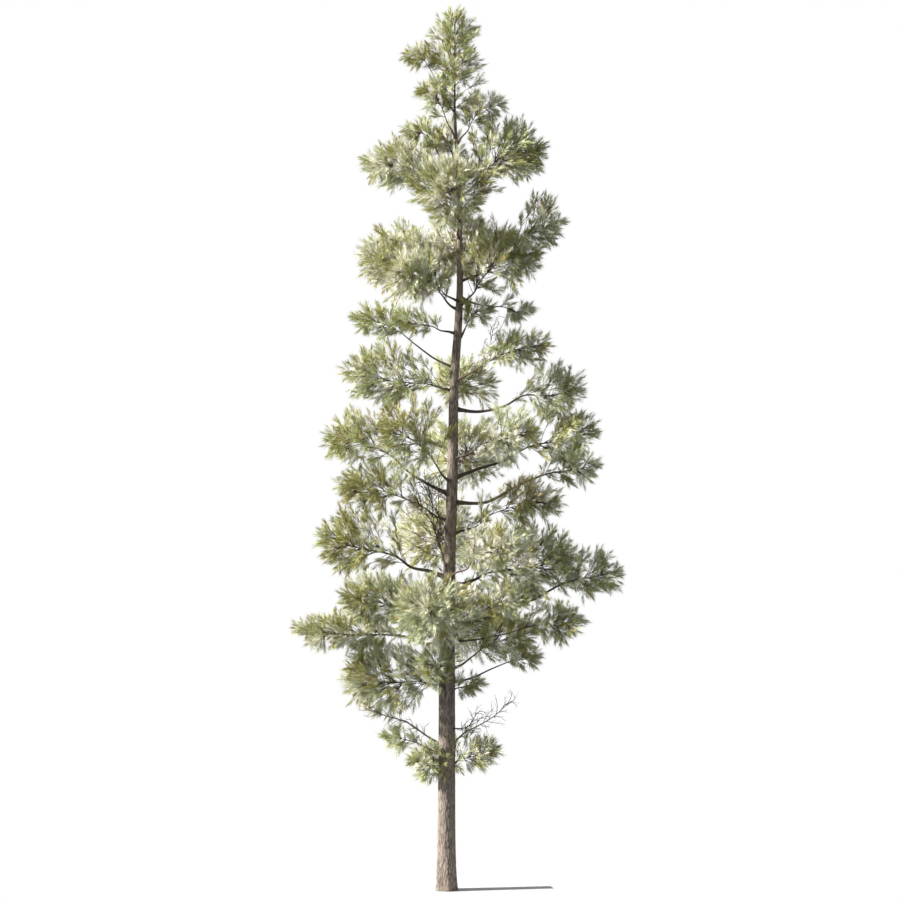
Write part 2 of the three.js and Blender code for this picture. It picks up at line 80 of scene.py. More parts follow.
# Light and floor: a sun from the left that is a few degrees wide, a pale sky, and a small
# round floor
SUN_AZIMUTH = 190
SUN_ELEVATION = 28
SUN_ENERGY = 10.2
SUN_WIDTH = 3
SUN_COLOUR = (1.0, 0.975, 0.93)
SKY_COLOUR = (0.90, 0.95, 1.0, 1)
SKY_STRENGTH = 0.42
BACKDROP_COLOUR = (1, 1, 1, 1)
FLOOR_RADIUS = 3.2
FLOOR_SIDES = 96
FLOOR_BELOW_GROUND = 0.002
FLOOR_COLOUR = (0.58, 0.585, 0.60, 1)

# Trunk: its taper and lean by height, and the flare of its foot
TRUNK_TIP = 23.0
FLARE_WIDTH = 0.062
FLARE_HEIGHT = 0.7
FLARE_LOBES = 5
FLARE_LOBE_SHARE = 0.09
TRUNK_RADII = [
    (0, 0.264), (2.6, 0.250), (5, 0.240), (7, 0.226), (9.7, 0.174), (12.4, 0.158),
    (13.8, 0.139), (16.8, 0.114), (17.5, 0.096), (20.3, 0.072), (22, 0.048), (23, 0.034),
]
LEAN_IN_X = [
    (0, 0), (4, 0.025), (7, 0.035), (9.7, 0.106), (12.6, 0.200), (14.8, 0.235),
    (16.8, 0.370), (18, 0.410), (20.4, 0.370), (22, 0.300), (23, 0.255),
]
LEAN_IN_Y = [(0, 0), (6, 0.060), (12, -0.040), (18, 0.080), (23, 0.020)]
TRUNK_COLUMNS = 116
TRUNK_ROWS = 740

# Bark of the trunk: plates between furrows, which are deepest at the foot
PLATE_WIDTH = 0.042
PLATE_STRETCH = 7
PLATE_WANDER = 0.55
PLATE_WANDER_SCALE = 0.7
FURROW_WIDTH = 0.38
GRAIN_SCALE = 3.1
GRAIN_HEIGHT = 0.22
FURROW_DEPTHS = [(0, 0.012), (6, 0.010), (12, 0.007), (18, 0.005), (23, 0.002)]

# Boughs and stems: how they leave the trunk, bend and taper, and the lumps of their bark
BOUGH_TIP_SHARE = 0.45
BOUGH_SAG = 0.06
BOUGH_KINK = 0.05
BOUGH_BENDS = (0.35, 0.7)
STEM_GIRTH_ON_TRUNK = 0.064
STEM_SHARE_OF_TRUNK = 0.55
STEM_TIP_RADIUS = 0.012
STEM_START_SHARE = 0.84
STEM_END_SHARE = 0.6
STEM_MIDDLE_BELOW = 0.16
LIMB_COLUMNS = 14
LIMB_FEWEST_ROWS = 8
LIMB_ROW_LENGTH = 0.05
COLLAR_SWELL = 0.7
COLLAR_LENGTH = 0.16
LIMB_FOOT_DEPTH = 0.75
LIMB_TIP_LENGTH = 0.02
LIMB_SEED_STEP = 3.7
LIMB_LUMPS_AROUND = 1.6
LIMB_LUMPS_ALONG = (7, 5)
LIMB_LUMPS = [(0.5, 1.3), (0.25, 3.7)]
LIMB_GIRTHS = (0.86, 1.10)

# Twigs that turn about the stem as they follow each other, and end in sprays
TWIGS_PER_METRE = 3.9
TWIG_FIRST = 0.1
TWIG_FORWARD = 54
TWIG_FORWARD_SPREAD = 36
TWIG_LIFT = 0.1
SPRAY_SHARE = 0.62
SPRAY_LONGEST = 1.6
SPRAY_ROOM_SHARE = 0.8
SPRAY_ROLL_SPREAD = 110
SPRAY_TEETH = 5
SPRAY_SPREAD = 25
OUTER_TEETH_SHARE = 0.84
SHORTEST_TOOTH_SHARE = 0.86

# Finer sprigs, which fill a mass: their ends are spread all round, from well below its skin to
# just past it, and there are fewer of them for each square metre of skin in the open middle of
# the crown
FILL_BY_HEIGHT = [(0, 2.4), (8.5, 2.3), (10.5, 1.05), (15, 1.1), (17, 2.3), (26, 2.0)]
FILL_FEWEST = 6
FILL_DEPTHS = (0.62, 1.02)
FILL_LENGTH = 0.46
FILL_TEETH = 3
FILL_STEP_BACK = 0.7
FILL_NEAREST_TO_TRUNK = 0.45

# How far a spray's stalk and the twigs along its teeth depart from a plain, even fan
STALK_WANDER = 0.035
TOOTH_LEAN = 0.4
TOOTH_SHORTEST = 0.3
TOOTH_STEP_BACK = 0.35
TOOTH_BACK_SHARES = (0.4, 1)
TOOTH_BEND = 0.08

# How far the end of a twig stays inside the skin of its mass and inside the solids' box
SKIN_DEPTH = 0.22
TIP_MARGIN = 0.25
LOWEST_TIP = np.array(solid_box[0]) + TIP_MARGIN
HIGHEST_TIP = np.array(solid_box[1]) - TIP_MARGIN

# Branchlets to both sides of a twig
BRANCHLET_SPACING = 0.08
FIRST_BRANCHLET = 0.3
BRANCHLET_LENGTHS = (0.12, 0.26)
BRANCHLET_FORWARD = (16, 40)
BRANCHLET_ROLL = 42
BRANCHLET_LIFT = 0.08

# How thick the twigs are at their foot and at their tip, and their points and sides
STALK_RADII = (0.022, 0.012)
FINE_STALK_RADII = (0.011, 0.007)
TWIG_RADII = (0.008, 0.005)
BRANCHLET_RADIUS = 0.005
DEAD_TWIG_RADII = (0.010, 0.004)
DEAD_FORK_RADII = (0.005, 0.0025)
THICK_TWIG_POINTS = 5
THICK_TWIG_SIDES = 4
THIN_TWIG_POINTS = 4
THIN_TWIG_SIDES = 3
SPIKE_SIDES = 3

# Needles all round a branchlet, from near its foot to its tip
FIRST_NEEDLE = 0.1
NEEDLES_PER_BRANCHLET = 17
NEEDLE_LENGTHS = (0.15, 0.27)
NEEDLE_WIDTH = 0.018
NEEDLE_ANGLES = (40, 8)
NEEDLE_LEAN_SPREAD = (0.7, 1.3)
NEEDLE_ROLL = 60
NEEDLE_WIDEST = 0.45
NEEDLE_DROOP = 0.05
NEEDLE_CORNERS = 4
NEEDLE_TRIANGLES = 2

# The most needle triangles that masses joined into one piece have together
PIECE_TRIANGLES = 170000

# The leading shoot, which goes on up from the trunk's tip
LEADER = {"height": 24.38, "size": (3.30, 2.00, 2.05)}


def mass(azimuth, at, reach, height, size, girth=None):
    """A mass of foliage: the limb that carries it leaves the trunk at a height, and its size is
    its length away from the trunk, its width across and its depth."""
    return {"azimuth": azimuth, "at": at, "reach": reach, "height": height, "size": size, "girth": girth}


MASSES = {
    "left_1": mass(178, 22.85, 0.95, 24.53, (0.85, 0.85, 0.85)),
    "left_2": mass(194, 22.05, 0.62, 23.40, (0.90, 0.95, 1.40)),
    "right_2": mass(-9, 21.90, 0.76, 23.05, (1.30, 1.30, 1.25)),
    "back_2": mass(112, 21.20, 0.85, 22.20, (1.30, 1.45, 1.25)),
    "left_3_top": mass(176, 20.90, 1.00, 22.33, (1.05, 1.15, 1.00)),
    "left_3": mass(172, 20.20, 1.62, 21.38, (2.70, 2.55, 1.75)),
    "right_3": mass(7, 20.30, 1.40, 21.82, (2.55, 2.50, 2.20)),
    "front_3": mass(263, 19.10, 1.21, 20.56, (2.20, 3.20, 2.50)),
    "left_4": mass(176, 17.05, 1.60, 18.60, (3.00, 2.90, 2.50)),
    "right_4_far": mass(7, 17.90, 2.45, 19.62, (1.25, 1.25, 2.20)),
    "right_4": mass(-19, 17.15, 1.30, 18.65, (2.55, 2.40, 2.25)),
    "front_4": mass(229, 17.30, 1.80, 18.06, (2.25, 2.20, 1.80)),
    "back_4": mass(90, 18.00, 1.35, 19.15, (2.60, 2.80, 2.40)),
    "left_5_near": mass(189, 16.35, 1.25, 16.72, (1.30, 1.15, 0.90)),
    "right_5": mass(-17, 16.15, 0.56, 17.05, (0.90, 0.98, 1.05)),
    "right_5_far": mass(12, 17.45, 1.72, 17.08, (0.85, 0.80, 0.80)),
    "left_5": mass(172, 15.35, 2.22, 16.80, (1.60, 1.45, 1.30)),
    "left_6": mass(183, 14.70, 1.90, 15.15, (2.95, 2.85, 2.20)),
    "right_6": mass(-27, 14.95, 1.98, 15.95, (2.35, 2.15, 1.20)),
    "right_6_far": mass(4, 14.15, 2.90, 14.70, (1.95, 2.15, 2.00), 0.104),
    "back_6": mass(86, 14.30, 2.05, 15.05, (2.80, 3.00, 1.48)),
    "right_7": mass(-37, 12.70, 1.92, 13.44, (2.20, 1.90, 2.24)),
    "left_8": mass(173, 11.60, 2.64, 13.31, (2.45, 2.85, 1.95), 0.108),
    "front_8": mass(232, 11.95, 1.90, 13.43, (2.50, 2.30, 2.47)),
    "right_8": mass(9, 12.10, 3.18, 13.40, (2.45, 2.50, 2.18), 0.104),
    "right_9": mass(-11, 11.40, 3.55, 12.45, (1.75, 1.90, 1.30), 0.112),
    "back_8": mass(81, 12.05, 2.46, 12.95, (3.13, 3.37, 2.63)),
    "left_10": mass(186, 10.85, 2.00, 11.86, (2.90, 2.65, 1.65)),
    "right_10": mass(-22, 10.45, 2.16, 11.45, (2.90, 2.40, 1.54)),
    "front_11": mass(303, 9.20, 2.25, 10.16, (2.80, 2.40, 1.71)),
    "left_12": mass(177, 9.15, 2.62, 10.25, (2.70, 2.85, 2.50), 0.124),
    "right_12": mass(9, 9.00, 2.50, 9.68, (3.40, 3.00, 2.45), 0.12),
    "back_12": mass(97, 9.30, 2.70, 10.45, (3.48, 3.67, 2.40)),
    "right_13_far": mass(0, 7.75, 4.25, 9.33, (1.95, 1.95, 1.70), 0.118),
    "right_13_low": mass(-20, 7.30, 3.40, 7.97, (1.60, 1.55, 1.55)),
    "right_13_near": mass(-36, 7.60, 2.08, 8.67, (1.60, 1.70, 1.25)),
    "left_13": mass(181, 7.35, 3.05, 7.62, (3.25, 2.40, 1.30), 0.116),
    "left_13_near": mass(203, 7.50, 2.15, 8.65, (2.70, 2.15, 1.90)),
    "front_13": mass(258, 7.30, 1.92, 8.39, (2.70, 3.00, 2.38)),
    "back_13": mass(80, 7.00, 2.68, 7.86, (3.20, 3.40, 2.54)),
    "left_14": mass(174, 6.00, 1.88, 6.29, (2.65, 2.60, 2.65)),
    "left_14_near": mass(241, 5.70, 0.71, 6.71, (1.40, 1.34, 1.63)),
    "right_14": mass(-7, 6.50, 1.82, 7.56, (1.80, 2.00, 1.95)),
    "right_15": mass(-6, 5.80, 0.58, 6.07, (0.80, 0.81, 0.92)),
    "right_15_far": mass(7, 6.10, 2.26, 6.82, (0.80, 0.86, 0.85)),
    "left_low_far": mass(166, 3.96, 1.40, 4.48, (0.95, 0.95, 0.85)),
    "left_low": mass(204, 3.70, 0.55, 3.79, (1.15, 1.10, 1.60)),
    "right_low": mass(-9, 3.65, 0.86, 4.08, (1.25, 1.20, 1.65)),
}

# Dead limbs by where they leave the trunk, how thick they are, and how far they reach and rise
DEAD_LIMBS = {
    "dead_limb_left": {"azimuth": 180, "at": 4.18, "girth": 0.062, "reach": 2.35, "rise": 1.05},
    "dead_limb_right": {"azimuth": -9, "at": 4.06, "girth": 0.054, "reach": 1.85, "rise": 1.40},
}
DEAD_LIMB_BENDS = (0.25, 0.5, 0.75, 1)
DEAD_LIMB_RISE_POWER = 0.7
DEAD_LIMB_TAPER = 0.7

# Small bare limbs near the trunk: how thick each is, and the points that it follows
BARE_LIMBS = [
    (0.040, [(0.02, -0.12, 9.45), (-0.22, -0.42, 10.25), (-0.45, -0.55, 10.90), (-0.82, -0.60, 11.40)]),
    (0.032, [(0.08, -0.12, 10.45), (-0.25, -0.40, 11.10), (-0.50, -0.50, 11.60), (-0.66, -0.52, 11.95)]),
    (0.026, [(0.10, -0.10, 11.35), (-0.25, -0.35, 11.75), (-0.55, -0.45, 11.98)]),
    (0.030, [(-0.15, -0.36, 10.10), (-0.36, -0.62, 10.75), (-0.42, -0.74, 11.55), (-0.62, -0.80, 12.10)]),
    (0.026, [(0.06, -0.12, 10.05), (-0.16, -0.55, 10.60), (-0.22, -0.70, 11.30), (-0.20, -0.78, 12.05)]),
    (0.024, [(-0.45, -0.55, 10.90), (-0.75, -0.72, 11.25), (-0.95, -0.80, 11.80)]),
    (0.050, [(0.05, -0.05, 4.76), (0.62, -0.12, 4.80), (0.90, -0.18, 5.20)]),
    (0.026, [(0.95, -0.45, 15.10), (1.25, -0.50, 15.85), (1.40, -0.52, 16.55)]),
]
BARE_LIMB_POINTS = 9
BARE_LIMB_SIDES = 6
BARE_LIMB_TIP_SHARE = 1 / 3

# Bare twigs along a dead or bare limb, and the finer forks of each
DEAD_TWIG_SPACING = 0.11
DEAD_TWIG_FIRST = 0.22
DEAD_TWIG_LENGTHS = (0.25, 0.62)
DEAD_TWIG_ASIDE = (0.5, 1.1)
DEAD_TWIG_KINK = 0.04
DEAD_TWIG_WANDER = 0.3
DEAD_TWIG_FORKS = (0.3, 0.55, 0.8)
DEAD_FORK_ASIDE = 0.8
DEAD_FORK_LENGTHS = (0.25, 0.5)
DEAD_FORK_KINK = 0.012

# Seeds: the one of the trunk's bark, the leading shoot's and the first mass's, what is added
# to a mass's own for its sprigs and for the finer ones, and where those of the dead and the
# bare limbs begin
BARK_SEED = 7
LEADER_SEED = 1
FIRST_MASS_SEED = 2
SPRIG_SEEDS = 1000
FILL_SEEDS = 2000
DEAD_LIMB_BARK_SEEDS = 100
DEAD_LIMB_SEEDS = 101
BARE_LIMB_SEEDS = 201

# Tints of the needles as they look on a screen, and how often a spray takes each. Before
# that, some of a mass's sprays take the mass's own usual tint. Most branchlets take the tint
# of their spray, and the others any tint.
USUAL_TINT_SHARE = 0.35
SPRAY_TINT_SHARE = 0.75
NEEDLE_TINTS = {
    "needles_olive": ((168, 166, 104), 0.28),
    "needles_green": ((188, 192, 140), 0.26),
    "needles_grey_green": ((204, 208, 174), 0.26),
    "needles_pale": ((228, 226, 206), 0.18),
    "needles_dry": ((180, 168, 116), 0.02),
}
NEEDLE_GLOSS = {"Roughness": 0.55, "Specular IOR Level": 0.35}

# Barks: the tones of furrow, plate, ridge and weathered patch as they look on a screen, how
# fine the grain is, and its scale upwards, which draws it out where it is less than 1
BARKS = {
    "trunk_bark": {
        "tones": [(72, 63, 59), (118, 107, 98), (154, 142, 131), (130, 118, 106)],
        "grain": 34, "stretch": 0.22,
    },
    "bough_bark": {
        "tones": [(46, 39, 36), (86, 75, 68), (122, 109, 98), (100, 86, 74)],
        "grain": 60, "stretch": 0.6,
    },
    "dead_wood": {
        "tones": [(72, 61, 57), (116, 101, 93), (152, 138, 128), (108, 90, 82)],
        "grain": 70, "stretch": 0.6,
    },
    "twig_bark": {
        "tones": [(80, 68, 60), (132, 114, 100), (168, 150, 132), (112, 96, 82)],
        "grain": 80, "stretch": 1,
    },
}
FURROW_TONE_AT = 0.2
PLATE_TONE_AT = 0.5
RIDGE_TONE_AT = 0.78
GRAIN_SHARE = 0.45
FINE_GRAIN = {"Detail": 7, "Roughness": 0.62}
BROAD_PATCHES = {"Scale": 1.1, "Detail": 4}
PATCH_RANGE = {"From Min": 0.42, "From Max": 0.68, "To Max": 0.55}
BARK_BUMP = {"Strength": 0.5, "Distance": 0.01}
BARK_GLOSS = {"Roughness": 0.92, "Specular IOR Level": 0.25}


def seeded_draw(seed):
    """Draws numbers from 0 to 1, the same ones for the same seed"""
    prime = 2147483647
    factor = 48271
    seed_step = 7919
    seed_start = 12345
    state = seed * seed_step + seed_start
    while True:
        state = (state * factor) % prime
        yield state / prime


def between(draw, low, high):
    """A drawn number between two others"""
    return low + (high - low) * next(draw)


def smooth_value(table, height):
    """A value between the rows of a table of heights, without kinks at its rows"""
    row = 0
    while row < len(table) - 2 and height > table[row + 1][0]:
        row += 1
    low, start = table[row]
    high, end = table[row + 1]
    before = table[max(row - 1, 0)]
    after = table[min(row + 2, len(table) - 1)]
    start_slope = (end - before[1]) / (high - before[0])
    end_slope = (after[1] - start) / (after[0] - low)
    span = high - low
    t = min(max((height - low) / span, 0), 1)
    eased = t * t * (3 - 2 * t)
    bend = span * (start_slope * t * (1 - t) ** 2 - end_slope * t * t * (1 - t))
    return start + (end - start) * eased + bend


def trunk_middle(height):
    """The middle of the trunk at a height"""
    return np.array([smooth_value(LEAN_IN_X, height), smooth_value(LEAN_IN_Y, height), height])


def trunk_radius(height, angle):
    """How far the trunk's bark is from its middle at a height, in the direction of an angle"""
    flare = math.exp(-height / FLARE_HEIGHT)
    lobes = 1 + FLARE_LOBE_SHARE * flare * math.cos(FLARE_LOBES * angle)
    return (smooth_value(TRUNK_RADII, height) + FLARE_WIDTH * flare) * lobes


def unit(vectors):
    """Vectors with their directions kept and their lengths made one metre"""
    return vectors / np.linalg.norm(vectors, axis=-1, keepdims=True)


def level_directions(azimuth):
    """The level directions out of the trunk and across that"""
    angle = math.radians(azimuth)
    outward = np.array([math.cos(angle), math.sin(angle), 0.0])
    across = np.array([-math.sin(angle), math.cos(angle), 0.0])
    return outward, across


class Path:
    """A smooth curve through points, read by shares of its length"""

    STEPS = 40

    def __init__(self, points):
        points = np.array(points, float)
        ends = [2 * points[0] - points[1], *points, 2 * points[-1] - points[-2]]
        places = [points[0]]
        for i in range(len(points) - 1):
            before, start, end, after = ends[i : i + 4]
            steps = (start - before, end - start, after - end)
            first, middle, last = (np.linalg.norm(step) ** 0.5 for step in steps)
            leave = (start - before) / first - (end - before) / (first + middle) + (end - start) / middle
            arrive = (end - start) / middle - (after - start) / (middle + last) + (after - end) / last
            t = np.linspace(0, 1, self.STEPS + 1)[1:, None]
            eased = t * t * (3 - 2 * t)
            bend = middle * (leave * t * (1 - t) ** 2 - arrive * t * t * (1 - t))
            places.extend(start + (end - start) * eased + bend)
        self.places = np.array(places)
        runs = np.linalg.norm(np.diff(self.places, axis=0), axis=1)
        self.length = runs.sum()
        self.shares = np.concatenate([[0], np.cumsum(runs)]) / self.length

    def place(self, share):
        """The place at a share of the length"""
        return np.stack([np.interp(share, self.shares, self.places[:, i]) for i in range(3)], axis=-1)

    def points(self, count):
        """Places at even steps, from the start to the end"""
        return self.place(np.linspace(0, 1, count))

    def heading(self, share):
        """The direction in which the curve runs at a share of the length"""
        step = 0.004
        ahead = self.place(np.minimum(np.asarray(share) + step, 1))
        behind = self.place(np.maximum(np.asarray(share) - step, 0))
        return unit(ahead - behind)


def space_of(row):
    """The space of a mass: its middle, its three directions and their half sizes"""
    outward, across = level_directions(row["azimuth"])
    middle = trunk_middle(row["at"]) + outward * row["reach"]
    middle[2] = row["height"]
    axes = np.array([outward, across, UP])
    return {"middle": middle, "axes": axes, "halves": np.array(row["size"]) / 2}


def place_in(space, outward_share, upward_share):
    """A point of a space, by shares of its half sizes outward and upward"""
    shares = np.array([outward_share, 0, upward_share]) * space["halves"]
    return space["middle"] + shares @ space["axes"]


def depth_in(space, point):
    """How far a point is from the middle of a space, where 1 is the space's skin"""
    return np.linalg.norm(space["axes"] @ (point - space["middle"]) / space["halves"])


def room_in(space, point, heading):
    """How far a straight line can run from a point before it leaves a space"""
    start = space["axes"] @ (point - space["middle"]) / space["halves"]
    step = space["axes"] @ heading / space["halves"]
    inward = start @ step
    square = step @ step
    reach = inward**2 - square * (start @ start - 1)
    return max((math.sqrt(max(reach, 0)) - inward) / square, 0)


def bough_path(row, space, draw):
    """The path of a bough and of the stem that goes on from it, and where on it the mass begins"""
    root = trunk_middle(row["at"])
    start = space["middle"] + (root - space["middle"]) * STEM_START_SHARE / depth_in(space, root)
    middle = place_in(space, 0, -STEM_MIDDLE_BELOW)
    end = place_in(space, STEM_END_SHARE, 0)
    run = np.linalg.norm(start - root)
    kink = run * BOUGH_KINK
    bends = []
    for share in BOUGH_BENDS:
        sag = run * BOUGH_SAG * 4 * share * (1 - share)
        upward = between(draw, -kink, kink) - sag
        sideways = between(draw, -kink, kink)
        bends.append(root + (start - root) * share + UP * upward + space["axes"][1] * sideways)
    path = Path([root, *bends, start, middle, end])
    nearest = np.argmin(np.linalg.norm(path.places - start, axis=1))
    return path, path.shares[nearest]


def turned(vector, axis, degrees):
    """A vector square to an axis, turned about that axis"""
    angle = math.radians(degrees)
    return vector * math.cos(angle) + np.cross(axis, vector) * math.sin(angle)


def square_to(headings):
    """For each heading a level direction square to it, and the one that is square to both"""
    upright = np.abs(headings[..., 2:]) > NEARLY_UPRIGHT
    side = unit(np.cross(headings, np.where(upright, [1.0, 0, 0], UP)))
    return side, np.cross(headings, side)


def rolled_side(heading, degrees):
    """A direction square to another one: level, and then turned about it"""
    level, _ = square_to(heading)
    return turned(level, heading, degrees)


def sprigs_of(space, path, enters, draw):
    """Where the sprigs of a mass grow, from the far end of its stem back to its start, each
    turned on from the last and reaching the skin of the mass's space"""
    size = 2 * np.cbrt(np.prod(space["halves"]))
    longest = min(size * SPRAY_SHARE, SPRAY_LONGEST)
    count = round(size * TWIGS_PER_METRE)
    last = enters + (1 - enters) * TWIG_FIRST
    across = space["axes"][1]
    turn = between(draw, 0, 360)
    sprigs = []
    for i in range(count):
        along = 1 + (last - 1) * i / count
        root = path.place(along)
        ahead = path.heading(along)
        side = unit(across - ahead * (across @ ahead))
        top = np.cross(side, ahead)
        turn += GOLDEN_TURN
        spread = TWIG_FORWARD + between(draw, -0.5, 0.5) * TWIG_FORWARD_SPREAD
        forward = math.radians(0 if i == 0 else spread)
        angle = math.radians(turn)
        sideways = side * math.cos(angle) + top * math.sin(angle)
        twig_heading = ahead * math.cos(forward) + sideways * math.sin(forward)
        heading = unit(twig_heading + UP * TWIG_LIFT)
        room = room_in(space, root, twig_heading)
        fan_length = min(longest, room * SPRAY_ROOM_SHARE)
        fan_side = rolled_side(heading, 90 + between(draw, -0.5, 0.5) * SPRAY_ROLL_SPREAD)
        teeth = [between(draw, SHORTEST_TOOTH_SHARE, 1) for _ in range(SPRAY_TEETH)]
        sprigs.append({
            "root": root, "end": root + twig_heading * (room - fan_length), "stalk": twig_heading,
            "heading": heading, "side": fan_side, "length": fan_length, "teeth": teeth,
        })
    return sprigs


def fill_sprigs(space, path, enters, draw):
    """The finer sprigs of a mass, which leave its stem some way behind their own ends"""
    halves = space["halves"]
    skin = 4 * math.pi * np.mean([halves[0] * halves[1], halves[1] * halves[2], halves[2] * halves[0]])
    count = max(round(skin * smooth_value(FILL_BY_HEIGHT, space["middle"][2])), FILL_FEWEST)
    turn = between(draw, 0, 360)
    sprigs = []
    for i in range(count):
        upward = 1 - 2 * (i + 0.5) / count
        level = math.sqrt(1 - upward**2)
        turn += GOLDEN_TURN
        angle = math.radians(turn)
        spot = np.array([level * math.cos(angle), level * math.sin(angle), upward])
        tip = space["middle"] + (spot * halves * between(draw, *FILL_DEPTHS)) @ space["axes"]
        gaps = np.linalg.norm(path.places - tip, axis=1)
        nearest = np.argmin(gaps)
        along = path.shares[nearest] - gaps[nearest] * FILL_STEP_BACK / path.length
        root = path.place(max(along, enters * FILL_NEAREST_TO_TRUNK))
        run = np.linalg.norm(tip - root)
        stalk = (tip - root) / run
        length = min(FILL_LENGTH, run * SPRAY_ROOM_SHARE)
        heading = unit(stalk + UP * TWIG_LIFT)
        side = rolled_side(heading, 90 + between(draw, -0.5, 0.5) * SPRAY_ROLL_SPREAD)
        teeth = [between(draw, SHORTEST_TOOTH_SHARE, 1) for _ in range(FILL_TEETH)]
        sprigs.append({
            "root": root, "end": tip - stalk * length, "stalk": stalk,
            "heading": heading, "side": side, "length": length, "teeth": teeth,
        })
    return sprigs


def dealt_tint(rng):
    """The number of a tint, each as often as its share"""
    return rng.choice(len(NEEDLE_TINTS), p=[share for _, share in NEEDLE_TINTS.values()])


class Growth:
    """The twigs and branchlets of a mass, gathered before they become meshes"""

    def __init__(self, rng):
        self.usual_tint = dealt_tint(rng)
        self.stalks = []
        self.fine_stalks = []
        self.twigs = []
        self.branchlets = []

    def add_spray(self, sprig, rng):
        """A spray: a twig along each tooth of its fan, with branchlets on both sides of each"""
        tint = self.usual_tint if rng.random() < USUAL_TINT_SHARE else dealt_tint(rng)
        root, end, length = sprig["root"], sprig["end"], sprig["length"]
        normal = np.cross(sprig["heading"], sprig["side"])
        wander = rng.normal(0, STALK_WANDER, 3) * np.linalg.norm(end - root)
        stalks = self.stalks if len(sprig["teeth"]) == SPRAY_TEETH else self.fine_stalks
        stalks.append(Path([root, (root + end) / 2 + wander, end]).points(THICK_TWIG_POINTS))
        middle_tooth = (len(sprig["teeth"]) - 1) / 2
        for tooth, share in enumerate(sprig["teeth"]):
            aside = (middle_tooth - tooth) / middle_tooth
            angle = math.radians((middle_tooth - tooth) * SPRAY_SPREAD)
            lean = rng.uniform(-TOOTH_LEAN, TOOTH_LEAN)
            heading = sprig["heading"] * math.cos(angle) + sprig["side"] * math.sin(angle) + normal * lean
            outer = 1 + (OUTER_TEETH_SHARE - 1) * abs(aside)
            reach = max(length * outer * share - SKIN_DEPTH, length * TOOTH_SHORTEST)
            tip = np.clip(end + unit(heading) * reach, LOWEST_TIP, HIGHEST_TIP)
            furthest_back = min(np.linalg.norm(end - root), length * TOOTH_STEP_BACK)
            back = furthest_back * abs(aside) * rng.uniform(*TOOTH_BACK_SHARES)
            start = end - sprig["stalk"] * back
            bend = (start + tip) / 2 + sprig["heading"] * length * TOOTH_BEND
            self.add_twig(Path([start, bend, tip]), sprig["side"], tint, rng)

    def add_twig(self, path, side, tint, rng):
        """A twig with branchlets to both sides in turn and one at its tip"""
        self.twigs.append(path.points(THIN_TWIG_POINTS))
        count = max(2, round(path.length * (1 - FIRST_BRANCHLET) / BRANCHLET_SPACING))
        shares = np.linspace(FIRST_BRANCHLET, 1, count)
        places = path.place(shares)
        headings = forked(path.heading(shares), side, BRANCHLET_FORWARD, rng)
        lengths = rng.uniform(*BRANCHLET_LENGTHS, count)
        as_spray = rng.random(count) < SPRAY_TINT_SHARE
        others = rng.integers(0, len(NEEDLE_TINTS), count)
        self.branchlets.append((places, headings, lengths, np.where(as_spray, tint, others)))


def forked(ahead, side, forward, rng):
    """The headings of branchlets that leave a twig to both sides in turn, the last straight on"""
    count = len(ahead)
    sideways = unit(side - ahead * (ahead @ side)[:, None])
    upward = np.cross(ahead, sideways)
    roll = np.radians(rng.normal(0, BRANCHLET_ROLL, count) + 180 * (np.arange(count) % 2))
    spoke = sideways * np.cos(roll)[:, None] + upward * np.sin(roll)[:, None]
    leaving = np.radians(rng.uniform(*forward, count))
    leaving[-1] = 0
    return unit(ahead * np.cos(leaving)[:, None] + spoke * np.sin(leaving)[:, None] + UP * BRANCHLET_LIFT)


def tube_arrays(paths, start_radius, tip_radius, sides=THIN_TWIG_SIDES):
    """Many thin closed tubes along paths of as many points each, as corners and triangles"""
    paths = np.array(paths)
    count, rings, _ = paths.shape
    headings = unit(np.gradient(paths, axis=1))
    side, top = square_to(headings)
    radii = np.linspace(start_radius, tip_radius, rings)[None, :, None, None]
    angles = 2 * np.pi * np.arange(sides) / sides
    around = side[:, :, None] * np.cos(angles)[:, None] + top[:, :, None] * np.sin(angles)[:, None]
    corners = (paths[:, :, None] + radii * around).reshape(-1, 3)
    faces = []
    for ring in range(rings - 1):
        for i in range(sides):
            a, b = ring * sides + i, ring * sides + (i + 1) % sides
            faces += [(a, b, b + sides), (a, b + sides, a + sides)]
    tip = (rings - 1) * sides
    for i in range(1, sides - 1):
        faces += [(0, i + 1, i), (tip, tip + i, tip + i + 1)]
    offsets = np.arange(count)[:, None, None] * rings * sides
    return corners, (np.array(faces)[None] + offsets).reshape(-1, 3)


def spike_arrays(places, headings, lengths, radius):
    """Many thin spikes, closed at their foot, as corners and triangles"""
    side, top = square_to(headings)
    angles = 2 * np.pi * np.arange(SPIKE_SIDES) / SPIKE_SIDES
    spokes = side[:, None] * np.cos(angles)[:, None] + top[:, None] * np.sin(angles)[:, None]
    feet = places[:, None] + spokes * radius
    tips = (places + headings * lengths[:, None])[:, None]
    corners = np.concatenate([feet, tips], axis=1).reshape(-1, 3)
    foot = [(0, i + 1, i) for i in range(1, SPIKE_SIDES - 1)]
    walls = [(i, (i + 1) % SPIKE_SIDES, SPIKE_SIDES) for i in range(SPIKE_SIDES)]
    first = np.arange(len(places))[:, None, None] * (SPIKE_SIDES + 1)
    return corners, (np.array(foot + walls)[None] + first).reshape(-1, 3)


